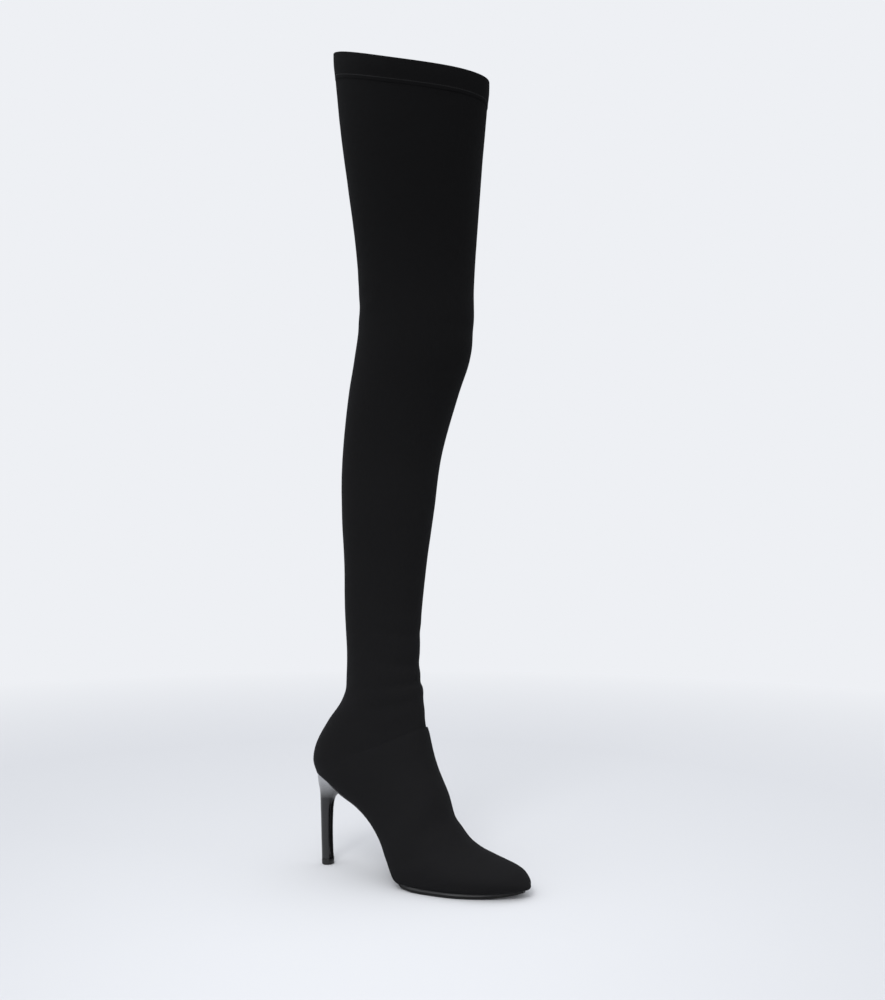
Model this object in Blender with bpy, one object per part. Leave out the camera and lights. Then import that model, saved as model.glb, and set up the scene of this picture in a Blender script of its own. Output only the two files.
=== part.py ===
"""A right thigh high boot: a stretch fabric leg and foot in one piece on a stiletto heel.

Metres, +Z up, +X towards the toe, +Y towards the wearer's left, which is the inner side of this boot.
The origin is on the floor, under the middle of the heel's tip.

The upper is one hollow wall. Its form is a row of sections: level ones up the leg, which turn
about the front of the ankle into upright ones along the foot. Each section runs from a point on the
back or underside to a point on the front or instep. Every other piece takes its place from that form.
"""

import math
from typing import NamedTuple

import bmesh
import bpy
from mathutils import Vector

# Foot: level length from the counter's back to the toe, and what stands the heel up.
FOOT_LENGTH = 0.2318
HEEL_OVERHANG = 0.0117
BALL_WIDTH = 0.0785
INSTEP_HEIGHT = 0.0600
COUNTER_HEIGHT = 0.0680
SEAT_HEIGHT = 0.0852
TOE_SPRING = 0.0022
TREAD_END = 0.780  # share of FOOT_LENGTH where the toe spring starts

# Leg: heights above the heel seat, then depth, front to back, and width of the empty shaft.
SHAFT_HEIGHT = 0.6895
COLLAR_DROP = 0.0583
COLLAR_SIDE_DROP = 0.0081
COLLAR_DEPTH = 0.1620
COLLAR_WIDTH = 0.0950
KNEE_DEPTH = 0.1150
KNEE_WIDTH = 0.0920
CALF_DEPTH = 0.0990
CALF_WIDTH = 0.0840
ANKLE_DEPTH = 0.0752
ANKLE_WIDTH = 0.0572

# Walls, layers and the gap that touching pieces keep.
WALL_THICKNESS = 0.0015
HEM_HEIGHT = 0.0250
HEM_THICKNESS = 0.0010
HEM_GAP = 0.0005  # between the wall and the folded band, inside and outside
SOLE_THICKNESS = 0.0052
WAIST_THICKNESS = 0.0024
WAIST_LIFT = 0.024  # share of the seat's lift over the tread from which the outsole is thin
SOLE_MARGIN = 0.0010
SOLE_CHAMFER = 0.0009
SOLE_UNDERCUT = 0.0012
INSOLE_THICKNESS = 0.0020
INSOLE_INSET = 0.0010
CLEARANCE = 0.0003
FOLD_CLEARANCE = 0.0012

# Heel stem and the tip under it.
HEEL_TIP_HEIGHT = 0.0055
HEEL_TIP_DEPTH = 0.0120
HEEL_TIP_WIDTH = 0.0120
HEEL_TOP_DEPTH = 0.0320
HEEL_TOP_WIDTH = 0.0310
HEEL_TOP_BACK = 0.0092

# How finely the form is cut: columns from the back or underside to the front, rings along the leg.
SIDE_COLUMNS = 18
SEAT_COLUMNS = 3
OPEN_COLUMNS = 2
LEG_STEPS = 2
PROFILE_STEPS = 48
HEEL_SIDES = 28

# Roundness of the heel across its breast and its back, 1 being an ellipse.
BREAST_POWER = 0.75
BACK_POWER = 0.95

COLLAR = (COLLAR_DEPTH, COLLAR_WIDTH)
KNEE = (KNEE_DEPTH, KNEE_WIDTH)
CALF = (CALF_DEPTH, CALF_WIDTH)
ANKLE = (ANKLE_DEPTH, ANKLE_WIDTH)


class LegRow(NamedTuple):
    """A section of the leg. height is a share of SHAFT_HEIGHT, axis of FOOT_LENGTH."""

    height: float
    axis: float
    size: tuple
    depth: float
    width: float
    tilt: float
    widest: float
    low: float
    high: float


class FootRow(NamedTuple):
    """A section of the foot.

    bottom and top are shares of FOOT_LENGTH, lift of the seat's height over the tread, counter of
    COUNTER_HEIGHT, rise of INSTEP_HEIGHT, lateral, medial and swing of BALL_WIDTH, and seat and
    inner_seat, the half widths of the flat underside, of BALL_WIDTH too. edge is how many times
    SOLE_MARGIN the outsole stands out past the flat underside.
    """

    bottom: float
    lift: float
    counter: float
    top: float
    rise: float
    lateral: float
    medial: float
    seat: float
    inner_seat: float
    swing: float
    widest: float
    low: float
    high: float
    anchor: float
    edge: float


class Section(NamedTuple):
    """A section at its real size, from its back or bottom point to its front or top point."""

    back_x: float
    back_z: float
    front_x: float
    front_z: float
    lateral: float
    medial: float
    seat: float
    inner_seat: float
    swing: float
    widest: float
    low: float
    high: float
    anchor: float
    edge: float
    side_drop: float


LEG_ROWS = [
    #       height  axis   size    depth  width  tilt  widest low   high
    LegRow(1.000, 0.457, COLLAR, 1.031, 0.971, 1.00, 0.56, 1.62, 1.78),
    LegRow(0.964, 0.458, COLLAR, 1.003, 1.008, 0.90, 0.56, 1.74, 1.93),
    LegRow(0.892, 0.462, COLLAR, 0.915, 1.045, 0.72, 0.55, 1.85, 2.08),
    LegRow(0.820, 0.475, COLLAR, 0.831, 1.030, 0.52, 0.54, 1.92, 2.05),
    LegRow(0.752, 0.487, KNEE, 1.065, 1.020, 0.32, 0.53, 1.98, 2.02),
    LegRow(0.692, 0.493, KNEE, 1.007, 0.995, 0.16, 0.52, 2.00, 2.00),
    LegRow(0.640, 0.493, KNEE, 1.000, 1.000, 0.04, 0.52, 2.00, 2.00),
    LegRow(0.592, 0.473, KNEE, 1.015, 1.012, 0.00, 0.51, 2.00, 2.00),
    LegRow(0.540, 0.430, KNEE, 0.955, 0.985, 0.00, 0.50, 2.00, 2.00),
    LegRow(0.458, 0.377, CALF, 1.004, 1.000, 0.00, 0.49, 2.00, 2.00),
    LegRow(0.385, 0.358, CALF, 0.940, 0.935, 0.00, 0.49, 2.00, 2.00),
    LegRow(0.310, 0.345, CALF, 0.850, 0.800, 0.00, 0.49, 2.00, 2.00),
    LegRow(0.240, 0.334, ANKLE, 1.045, 1.075, 0.00, 0.50, 2.00, 2.00),
    LegRow(0.185, 0.335, ANKLE, 1.000, 1.000, 0.00, 0.50, 2.00, 2.00),
]

FOOT_ROWS = [
    #        bottom  lift   counter top   rise  lateral medial seat  inner  swing widest low  high anchor edge
    FootRow(0.1664, 1.000, 1.440, 0.5000, 0.100, 0.363, 0.363, 0.000, 0.000, 0.000, 0.50, 2.00, 2.05, 0.0, 0.0),
    FootRow(0.1476, 1.000, 1.190, 0.5130, 0.260, 0.369, 0.369, 0.000, 0.000, 0.000, 0.47, 2.05, 2.10, 0.0, 0.0),
    FootRow(0.0815, 1.000, 0.880, 0.5175, 0.455, 0.382, 0.382, 0.010, 0.010, 0.000, 0.43, 2.20, 2.15, 0.1, 0.0),
    FootRow(0.0266, 1.000, 0.560, 0.5225, 0.618, 0.393, 0.393, 0.030, 0.030, 0.000, 0.40, 2.30, 2.20, 0.3, 0.0),
    FootRow(0.0052, 1.000, 0.290, 0.5265, 0.770, 0.394, 0.394, 0.040, 0.040, 0.000, 0.38, 2.15, 2.20, 0.5, 0.0),
    FootRow(0.0213, 1.000, 0.104, 0.5325, 0.870, 0.388, 0.388, 0.060, 0.060, 0.000, 0.36, 1.90, 2.20, 0.8, 0.0),
    FootRow(0.0430, 1.000, 0.089, 0.5385, 0.900, 0.388, 0.388, 0.140, 0.140, 0.000, 0.35, 1.90, 2.20, 1.0, -1.0),
    FootRow(0.1050, 1.010, 0.000, 0.5460, 0.890, 0.398, 0.398, 0.215, 0.215, 0.000, 0.34, 2.00, 2.20, 1.0, -0.5),
    FootRow(0.1794, 0.909, 0.000, 0.5525, 0.886, 0.401, 0.401, 0.242, 0.242, 0.000, 0.35, 2.00, 2.20, 1.0, 2.5),
    FootRow(0.2525, 0.775, 0.000, 0.5640, 0.868, 0.401, 0.401, 0.225, 0.220, 0.000, 0.36, 2.00, 2.20, 1.0, 0.8),
    FootRow(0.3213, 0.620, 0.000, 0.5800, 0.888, 0.414, 0.408, 0.240, 0.215, 0.000, 0.37, 2.00, 2.15, 1.0, 0.3),
    FootRow(0.3865, 0.440, 0.000, 0.6030, 0.935, 0.436, 0.420, 0.310, 0.240, 0.000, 0.36, 2.10, 2.10, 1.0, -0.3),
    FootRow(0.4358, 0.248, 0.000, 0.6270, 0.990, 0.475, 0.439, 0.390, 0.290, 0.000, 0.33, 2.30, 2.05, 1.0, -1.5),
    FootRow(0.4879, 0.024, 0.000, 0.6510, 0.980, 0.505, 0.462, 0.440, 0.350, 0.000, 0.30, 2.50, 2.00, 1.0, -5.0),
    FootRow(0.5492, 0.006, 0.000, 0.6790, 0.840, 0.513, 0.478, 0.465, 0.400, 0.000, 0.28, 2.60, 2.00, 1.0, 1.0),
    FootRow(0.6095, 0.000, 0.000, 0.7160, 0.662, 0.510, 0.490, 0.465, 0.435, 0.000, 0.28, 2.60, 2.00, 1.0, 1.0),
    FootRow(0.6740, 0.000, 0.000, 0.7620, 0.538, 0.497, 0.497, 0.452, 0.452, 0.003, 0.30, 2.60, 2.00, 1.0, 1.0),
    FootRow(0.7385, 0.000, 0.000, 0.8120, 0.465, 0.471, 0.475, 0.427, 0.430, 0.010, 0.32, 2.50, 2.00, 1.0, 1.0),
    FootRow(0.8030, 0.000, 0.000, 0.8630, 0.405, 0.427, 0.427, 0.375, 0.378, 0.022, 0.35, 2.40, 2.00, 1.0, 0.8),
    FootRow(0.8611, 0.000, 0.000, 0.9120, 0.350, 0.367, 0.367, 0.306, 0.310, 0.030, 0.38, 2.30, 2.00, 1.0, 0.5),
    FootRow(0.9105, 0.000, 0.000, 0.9500, 0.288, 0.296, 0.296, 0.232, 0.232, 0.036, 0.40, 2.20, 2.00, 1.0, -0.2),
    FootRow(0.9514, 0.000, 0.000, 0.9725, 0.218, 0.217, 0.217, 0.150, 0.150, 0.040, 0.42, 2.10, 2.00, 1.0, -1.2),
    FootRow(0.9794, 0.000, 0.000, 0.9901, 0.145, 0.139, 0.139, 0.075, 0.075, 0.043, 0.45, 2.00, 2.00, 1.0, -3.0),
    FootRow(0.9957, 0.000, 0.000, 1.0000, 0.072, 0.056, 0.056, 0.020, 0.020, 0.045, 0.50, 2.00, 2.00, 1.0, 0.0),
]

# Rows of the foot between which pieces run, counted from its first row.
SEAT_ROW = 6
SOLE_FIRST_ROW = 7
OPEN_LAST_ROW = 21
SOLE_LAST_ROW = 22


class HeelRow(NamedTuple):
    """A ring of the heel: height as a share of SEAT_HEIGHT, then shares of the way from tip to top size."""

    height: float
    back: float
    breast: float
    width: float


HEEL_ROWS = [
    #       height back   breast width
    HeelRow(0.100, 0.016, -0.030, -0.011),
    HeelRow(0.214, 0.110, -0.068, -0.021),
    HeelRow(0.390, 0.260, -0.088, -0.021),
    HeelRow(0.566, 0.370, -0.070, 0.005),
    HeelRow(0.671, 0.484, -0.034, 0.026),
    HeelRow(0.742, 0.523, 0.035, 0.063),
    HeelRow(0.789, 0.542, 0.124, 0.132),
    HeelRow(0.836, 0.597, 0.355, 0.238),
    HeelRow(0.883, 0.661, 0.593, 0.407),
    HeelRow(0.953, 0.903, 0.802, 0.661),
    HeelRow(1.020, 0.968, 0.922, 0.873),
    HeelRow(1.140, 1.000, 1.000, 1.000),
]


class Finish(NamedTuple):
    """A material's colour, roughness and metallic value."""

    colour: tuple
    roughness: float
    metallic: float


FINISHES = {
    "stretch_fabric": Finish((0.012, 0.012, 0.013), 0.95, 0.0),
    "heel_lacquer": Finish((0.010, 0.010, 0.011), 0.22, 0.0),
    "sole_leather": Finish((0.012, 0.012, 0.012), 0.50, 0.0),
    "tip_rubber": Finish((0.010, 0.010, 0.010), 0.70, 0.0),
    "insole_leather": Finish((0.020, 0.019, 0.018), 0.75, 0.0),
}

TREAD_Z = SOLE_THICKNESS + CLEARANCE
SEAT_LIFT = SEAT_HEIGHT - TREAD_Z
COLUMN_COUNT = 2 * SIDE_COLUMNS


def clear_scene():
    """Empties the scene."""
    for obj in list(bpy.data.objects):
        bpy.data.objects.remove(obj)


def toe_spring(share):
    """Rise of the underside over the tread, at a share of the foot's length."""
    ahead = max(0.0, share - TREAD_END) / (1.0 - TREAD_END)
    return TOE_SPRING * ahead * ahead


def leg_section(row):
    """A leg row at its real size."""
    depth = row.depth * row.size[0]
    half_width = row.width * row.size[1] / 2
    middle = row.axis * FOOT_LENGTH - HEEL_OVERHANG
    height = SEAT_HEIGHT + row.height * SHAFT_HEIGHT
    drop = row.tilt * COLLAR_DROP / 2
    return Section(
        back_x=middle - depth / 2,
        back_z=height + drop,
        front_x=middle + depth / 2,
        front_z=height - drop,
        lateral=half_width,
        medial=half_width,
        seat=0.0,
        inner_seat=0.0,
        swing=0.0,
        widest=row.widest,
        low=row.low,
        high=row.high,
        anchor=0.0,
        edge=0.0,
        side_drop=row.tilt * COLLAR_SIDE_DROP / half_width**2,
    )


def foot_section(row):
    """A foot row at its real size."""
    bottom_z = TREAD_Z + row.lift * SEAT_LIFT + row.counter * COUNTER_HEIGHT + toe_spring(row.bottom)
    return Section(
        back_x=row.bottom * FOOT_LENGTH - HEEL_OVERHANG,
        back_z=bottom_z,
        front_x=row.top * FOOT_LENGTH - HEEL_OVERHANG,
        front_z=bottom_z + row.rise * INSTEP_HEIGHT,
        lateral=row.lateral * BALL_WIDTH,
        medial=row.medial * BALL_WIDTH,
        seat=row.seat * BALL_WIDTH,
        inner_seat=row.inner_seat * BALL_WIDTH,
        swing=row.swing * BALL_WIDTH,
        widest=row.widest,
        low=row.low,
        high=row.high,
        anchor=row.anchor,
        edge=row.edge * SOLE_MARGIN,
        side_drop=0.0,
    )


LEG_SECTIONS = [leg_section(row) for row in LEG_ROWS]
FOOT_SECTIONS = [foot_section(row) for row in FOOT_ROWS]
KEY_SECTIONS = LEG_SECTIONS + FOOT_SECTIONS
FIRST_FOOT = len(LEG_SECTIONS)


def section_at(place):
    """The section at a place counted in rows from the collar, on a smooth curve through the rows."""
    last = len(KEY_SECTIONS) - 1
    start = min(int(place), last - 1)
    t = place - start
    before, a, b, after = (
        KEY_SECTIONS[max(0, min(last, start + step))] for step in (-1, 0, 1, 2)
    )
    values = []
    for p, q, r, s in zip(before, a, b, after):
        slope_q = (r - p) / 2
        slope_r = (s - q) / 2
        values.append(
            q * (2 * t**3 - 3 * t**2 + 1)
            + slope_q * (t**3 - 2 * t**2 + t)
            + r * (3 * t**2 - 2 * t**3)
            + slope_r * (t**3 - t**2)
        )
    return Section(*values)


def half_outline(section, width, seat):
    """Points (along, across) of half a section, from its back or bottom round to its front or top."""
    points = [(0.0, seat * step / 6) for step in range(6)] if seat > 0 else []
    for step in range(PROFILE_STEPS + 1):
        turn = math.pi / 2 * step / PROFILE_STEPS
        along = section.widest * (1 - math.cos(turn) ** (2 / section.low))
        points.append((along, seat + (width - seat) * math.sin(turn) ** (2 / section.low)))
    for step in range(1, PROFILE_STEPS + 1):
        turn = math.pi / 2 * (1 - step / PROFILE_STEPS)
        along = section.widest + (1 - section.widest) * math.cos(turn) ** (2 / section.high)
        points.append((along, width * math.sin(turn) ** (2 / section.high)))
    return points


def half_columns(section, width, seat):
    """The same half outline, cut into SIDE_COLUMNS spans that keep to the flat underside's corner."""
    length = math.hypot(section.front_x - section.back_x, section.front_z - section.back_z)
    outline = half_outline(section, width, seat)
    run = [0.0]
    for (a, b), (c, d) in zip(outline, outline[1:]):
        run.append(run[-1] + math.hypot((c - a) * length, d - b))
    total = run[-1]
    even = total * SEAT_COLUMNS / SIDE_COLUMNS
    corner = even + (seat - even) * section.anchor
    columns = []
    index = 0
    for column in range(SIDE_COLUMNS + 1):
        if column <= SEAT_COLUMNS:
            target = corner * column / SEAT_COLUMNS
        else:
            share = (column - SEAT_COLUMNS) / (SIDE_COLUMNS - SEAT_COLUMNS)
            target = corner + (total - corner) * share
        while index < len(run) - 2 and run[index + 1] < target:
            index += 1
        span = max(run[index + 1] - run[index], 1e-12)
        part = min(1.0, max(0.0, (target - run[index]) / span))
        (a, b), (c, d) = outline[index], outline[index + 1]
        columns.append((a + (c - a) * part, b + (d - b) * part))
    return columns


def section_points(section, grow=0.0):
    """A closed ring round the section, grown in its own plane by grow."""
    back = Vector((section.back_x, 0.0, section.back_z))
    front = Vector((section.front_x, 0.0, section.front_z))
    forward = front - back
    flat = []
    for along, across in half_columns(section, section.lateral, section.seat):
        flat.append((along * forward.length, -across))
    inner = half_columns(section, section.medial, section.inner_seat)
    for along, across in reversed(inner[1:-1]):
        flat.append((along * forward.length, across))
    ring = []
    count = len(flat)
    for index, (along, across) in enumerate(flat):
        if grow:
            here = Vector((along, across))
            first = (here - Vector(flat[index - 1])).normalized()
            second = (Vector(flat[(index + 1) % count]) - here).normalized()
            mitre = (first + second) / (1.0 + first.dot(second))
            along += mitre.y * grow
            across -= mitre.x * grow
        point = back + forward.normalized() * along
        point.y = section.swing + across
        point.z -= section.side_drop * across * across
        ring.append(point)
    return ring


def form_places():
    """Places of the form's rings, from the collar to the toe."""
    places = [step / LEG_STEPS for step in range(FIRST_FOOT * LEG_STEPS)]
    places += [FIRST_FOOT + step for step in range(len(FOOT_SECTIONS))]
    return places


def add_ring(mesh, points):
    """Adds a ring's vertices to the mesh."""
    return [mesh.verts.new(point) for point in points]


def join_rings(mesh, first, second, skip=()):
    """Fills the band between two rings of vertices, leaving out the spans in skip."""
    count = len(first)
    for index in range(count):
        if index not in skip:
            after = (index + 1) % count
            mesh.faces.new((first[index], second[index], second[after], first[after]))


def close_end(mesh, ring):
    """Closes a ring with a fan of triangles round its middle."""
    middle = sum((vertex.co for vertex in ring), Vector()) / len(ring)
    centre = mesh.verts.new(middle)
    for index, vertex in enumerate(ring):
        mesh.faces.new((ring[(index + 1) % len(ring)], vertex, centre))


def loft(rings, looped=False):
    """A mesh through rings of points, its ends closed or, where looped, joined to each other."""
    mesh = bmesh.new()
    made = [add_ring(mesh, ring) for ring in rings]
    for first, second in zip(made, made[1:]):
        join_rings(mesh, first, second)
    if looped:
        join_rings(mesh, made[-1], made[0])
    else:
        close_end(mesh, made[0])
        close_end(mesh, made[-1])
    bmesh.ops.recalc_face_normals(mesh, faces=mesh.faces)
    return mesh


def finish_of(name):
    """The named finish as a material."""
    made = bpy.data.materials.get(name)
    if made is None:
        finish = FINISHES[name]
        made = bpy.data.materials.new(name)
        made.use_nodes = True
        shader = made.node_tree.nodes["Principled BSDF"]
        shader.inputs["Base Color"].default_value = (*finish.colour, 1.0)
        shader.inputs["Roughness"].default_value = finish.roughness
        shader.inputs["Metallic"].default_value = finish.metallic
    return made


def add_piece(name, mesh, finish, sharp_degrees=40.0):
    """Puts a mesh in the scene as a named piece."""
    data = bpy.data.meshes.new(name)
    mesh.to_mesh(data)
    mesh.free()
    data.shade_smooth()
    data.set_sharp_from_angle(angle=math.radians(sharp_degrees))
    piece = bpy.data.objects.new(name, data)
    piece.data.materials.append(finish_of(finish))
    bpy.context.scene.collection.objects.link(piece)
    return piece


def add_cutter(name, mesh):
    """Puts a mesh in the scene as a cutter, which is no piece of the boot."""
    cutter = add_piece(name, mesh, "stretch_fabric")
    cutter.hide_render = True
    cutter.display_type = "WIRE"
    return cutter


def cut(piece, cutter):
    """Cuts the cutter out of the piece."""
    modifier = piece.modifiers.new("cut_" + cutter.name, "BOOLEAN")
    modifier.operation = "DIFFERENCE"
    modifier.object = cutter


def outer_form(grow):
    """The boot's closed outer form, grown along its normals."""
    mesh = loft([section_points(section_at(place)) for place in form_places()])
    mesh.normal_update()
    for vertex in mesh.verts:
        vertex.co += vertex.normal * grow
    return mesh


def hem_place(below):
    """The place that lies a height below the collar at the leg's middle."""
    heights = [(s.back_z + s.front_z) / 2 for s in LEG_SECTIONS]
    target = heights[0] - below
    for index, (high, low) in enumerate(zip(heights, heights[1:])):
        if low <= target:
            return index + (high - target) / (high - low)
    return float(FIRST_FOOT)


def make_upper():
    """The hollow upper, open at the collar and, inside its turned in edge, underneath."""
    top = hem_place(HEM_THICKNESS + FOLD_CLEARANCE)
    hem = hem_place(HEM_HEIGHT)
    places = [top, hem / 2, hem] + [place for place in form_places() if place > hem + 0.1]
    mesh = bmesh.new()
    rings = [add_ring(mesh, section_points(section_at(place))) for place in places]
    open_from = FIRST_FOOT + SEAT_ROW
    open_to = FIRST_FOOT + OPEN_LAST_ROW
    underside = {*range(OPEN_COLUMNS), *range(COLUMN_COUNT - OPEN_COLUMNS, COLUMN_COUNT)}
    for place, first, second in zip(places, rings, rings[1:]):
        skip = underside if open_from <= place < open_to else ()
        join_rings(mesh, first, second, skip)
    close_end(mesh, rings[-1])
    piece = add_piece("upper", mesh, "stretch_fabric")
    wall = piece.modifiers.new("wall", "SOLIDIFY")
    wall.thickness = WALL_THICKNESS
    wall.offset = -1.0
    wall.use_even_offset = True
    return piece


def make_top_band():
    """The folded band that caps the shaft's edge, inside and outside."""
    outside = HEM_GAP + HEM_THICKNESS
    inside = WALL_THICKNESS + HEM_GAP + HEM_THICKNESS
    fold = HEM_THICKNESS * 0.45
    hem = hem_place(HEM_HEIGHT)
    middle = hem / 2
    under_fold = hem_place(HEM_THICKNESS)
    profile = [
        (hem, outside),
        (middle, outside),
        (hem_place(fold), outside),
        (0.0, outside - fold),
        (0.0, fold - inside),
        (hem_place(fold), -inside),
        (middle, -inside),
        (hem, -inside),
        (hem, HEM_THICKNESS - inside),
        (middle, HEM_THICKNESS - inside),
        (under_fold, HEM_THICKNESS - inside),
        (under_fold, HEM_GAP),
        (middle, HEM_GAP),
        (hem, HEM_GAP),
    ]
    rings = [section_points(section_at(place), grow) for place, grow in profile]
    return add_piece("top_band", loft(rings, looped=True), "stretch_fabric", 30.0)


def underside_frames(first_row, last_row):
    """(point, direction down, section) along the flat underside's middle line."""
    sections = KEY_SECTIONS[FIRST_FOOT + first_row:FIRST_FOOT + last_row + 1]
    frames = []
    for index, section in enumerate(sections):
        before = sections[max(0, index - 1)]
        after = sections[min(len(sections) - 1, index + 1)]
        run = Vector((after.back_x - before.back_x, 0.0, after.back_z - before.back_z)).normalized()
        down = Vector((run.z, 0.0, -run.x))
        frames.append((Vector((section.back_x, section.swing, section.back_z)), down, section))
    return frames


def slab_ring(point, down, lateral, medial, profile):
    """A ring across a thin slab, from its profile of (inset, depth) on each side."""
    ring = []
    for inset, depth in profile:
        ring.append(point + down * depth + Vector((0.0, -(lateral - inset), 0.0)))
    for inset, depth in reversed(profile):
        ring.append(point + down * depth + Vector((0.0, medial - inset, 0.0)))
    return ring


def move_end(rings, outward):
    """Moves the first ring away from the second by outward."""
    rings[0] = [
        point + (point - other).normalized() * outward
        for point, other in zip(rings[0], rings[1])
    ]


def sole_thickness(lift):
    """Thickness of the outsole, at a lift over the tread: thin through the waist, full under the tread."""
    share = min(1.0, max(0.0, lift / (WAIST_LIFT * SEAT_LIFT)))
    return SOLE_THICKNESS + (WAIST_THICKNESS - SOLE_THICKNESS) * share


def outsole_mesh(grow=0.0):
    """The outsole, from the heel's breast to the toe."""
    rings = []
    for point, down, section in underside_frames(SOLE_FIRST_ROW, SOLE_LAST_ROW):
        thickness = sole_thickness(point.z - TREAD_Z)
        chamfer = min(SOLE_CHAMFER, thickness * 0.3)
        undercut = min(SOLE_UNDERCUT, thickness * 0.3)
        profile = [
            (chamfer - grow, CLEARANCE - grow),
            (-grow, CLEARANCE + chamfer),
            (-grow, CLEARANCE + thickness - undercut),
            (undercut - grow, CLEARANCE + thickness + grow),
        ]
        lateral = section.seat + section.edge
        medial = section.inner_seat + section.edge
        rings.append(slab_ring(point, down, lateral, medial, profile))
    move_end(rings, grow)
    return loft(rings)


def make_outsole():
    """The outsole as a piece."""
    return add_piece("outsole", outsole_mesh(), "sole_leather", 25.0)


def make_insole():
    """The insole board, which lies on the upper's turned in edge and closes its underside."""
    low = -(WALL_THICKNESS + CLEARANCE)
    profile = [(INSOLE_INSET, low - INSOLE_THICKNESS), (INSOLE_INSET, low)]
    rings = []
    for point, down, section in underside_frames(SEAT_ROW, OPEN_LAST_ROW):
        rings.append(slab_ring(point, down, section.seat, section.inner_seat, profile))
    move_end(rings, -INSOLE_INSET)
    return add_piece("insole", loft(rings), "insole_leather", 25.0)


def heel_ring(height, back, breast, half_width):
    """A level ring of the heel, from its back to its breast, which is a little flatter."""
    middle = (breast - back) / 2
    reach = (breast + back) / 2
    ring = []
    for side in range(HEEL_SIDES):
        turn = 2 * math.pi * side / HEEL_SIDES
        ahead = math.cos(turn)
        power = BREAST_POWER if ahead > 0 else BACK_POWER
        x = middle + math.copysign(abs(ahead) ** power, ahead) * reach
        ring.append(Vector((x, math.sin(turn) * half_width, height)))
    return ring


def make_heel(form, sole):
    """The stiletto heel, whose top is hollowed to the upper and the outsole's end."""
    tip = (HEEL_TIP_DEPTH / 2, HEEL_TIP_DEPTH / 2, HEEL_TIP_WIDTH / 2)
    top = (HEEL_TOP_BACK, HEEL_TOP_DEPTH - HEEL_TOP_BACK, HEEL_TOP_WIDTH / 2)
    rings = [heel_ring(HEEL_TIP_HEIGHT + CLEARANCE, *tip)]
    for row in HEEL_ROWS:
        shares = (row.back, row.breast, row.width)
        sizes = [small + (large - small) * share for small, large, share in zip(tip, top, shares)]
        rings.append(heel_ring(row.height * SEAT_HEIGHT, *sizes))
    piece = add_piece("heel", loft(rings), "heel_lacquer", 50.0)
    cut(piece, form)
    cut(piece, sole)
    return piece


def make_heel_tip():
    """The wearing tip under the heel, flat on the floor."""
    sizes = (HEEL_TIP_DEPTH / 2, HEEL_TIP_DEPTH / 2, HEEL_TIP_WIDTH / 2)
    rings = [heel_ring(0.0, *sizes), heel_ring(HEEL_TIP_HEIGHT, *sizes)]
    return add_piece("heel_tip", loft(rings), "tip_rubber", 40.0)


def main():
    """Builds the boot."""
    clear_scene()
    form = add_cutter("form_cutter", outer_form(CLEARANCE))
    sole = add_cutter("sole_cutter", outsole_mesh(CLEARANCE))
    make_upper()
    make_top_band()
    make_insole()
    make_outsole()
    make_heel(form, sole)
    make_heel_tip()


main()
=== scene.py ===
"""Looks of a right thigh high boot in black stretch knit, on a slender gloss heel.

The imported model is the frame: metres, +Z up, +X to the toe, +Y to the inner side of the foot, and
the origin on the floor under the middle of the heel tip. Lengths below are in metres. The upper,
hem, sole, insole, heel and heel tip are made again here with smooth surfaces, in the places of the
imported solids, and each gets its finish.
"""

import logging
import math
from dataclasses import dataclass
from enum import Enum
from typing import Callable, Iterable, NamedTuple, Optional, Sequence

import bmesh
import bpy
import numpy as np
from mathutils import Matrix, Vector, noise

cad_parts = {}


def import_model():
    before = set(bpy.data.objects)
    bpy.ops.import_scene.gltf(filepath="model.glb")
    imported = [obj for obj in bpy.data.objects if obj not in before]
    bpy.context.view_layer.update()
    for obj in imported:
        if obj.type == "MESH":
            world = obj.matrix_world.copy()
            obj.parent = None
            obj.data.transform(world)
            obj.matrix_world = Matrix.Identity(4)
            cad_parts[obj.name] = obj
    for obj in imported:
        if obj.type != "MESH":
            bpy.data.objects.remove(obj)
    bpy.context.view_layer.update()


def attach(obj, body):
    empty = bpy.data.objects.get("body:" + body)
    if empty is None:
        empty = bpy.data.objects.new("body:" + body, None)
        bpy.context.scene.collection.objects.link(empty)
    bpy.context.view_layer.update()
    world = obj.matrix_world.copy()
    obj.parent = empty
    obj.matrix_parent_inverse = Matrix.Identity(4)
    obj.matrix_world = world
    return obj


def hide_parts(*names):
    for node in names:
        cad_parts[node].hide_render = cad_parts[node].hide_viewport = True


log = logging.getLogger("boot")

CLEARANCE = 0.0003  # kept between touching pieces
HEM_GAP = 0.0005  # between the wall and the folded hem, inside and outside
WALL_THICKNESS = 0.0015
SAME_SPOT = 1e-6
SLIVER = 1e-5  # the longest edge that a cut leaves by chance
WEAR_SCALE = 60.0


class Slot(Enum):
    """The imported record's material slots."""

    FABRIC = "stretch_fabric"
    INSOLE = "insole_leather"
    SOLE = "sole_leather"
    HEEL = "heel_lacquer"
    TIP = "tip_rubber"


class LegRow(NamedTuple):
    """A level section of the leg, with its height and axis as shares of the form's sizes."""

    height: float
    axis: float
    size: str
    depth: float
    width: float
    tilt: float
    widest: float
    low: float
    high: float


class FootRow(NamedTuple):
    """A section of the foot, as shares of the foot's length, heights and ball width."""

    bottom: float
    lift: float
    counter: float
    top: float
    rise: float
    lateral: float
    medial: float
    seat: float
    inner_seat: float
    swing: float
    widest: float
    low: float
    high: float
    anchor: float
    edge: float


class Section(NamedTuple):
    """A section at its real size, from its back or bottom point to its front or top point."""

    back_x: float
    back_z: float
    front_x: float
    front_z: float
    lateral: float
    medial: float
    seat: float
    inner_seat: float
    swing: float
    widest: float
    low: float
    high: float
    anchor: float
    edge: float
    side_drop: float


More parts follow.
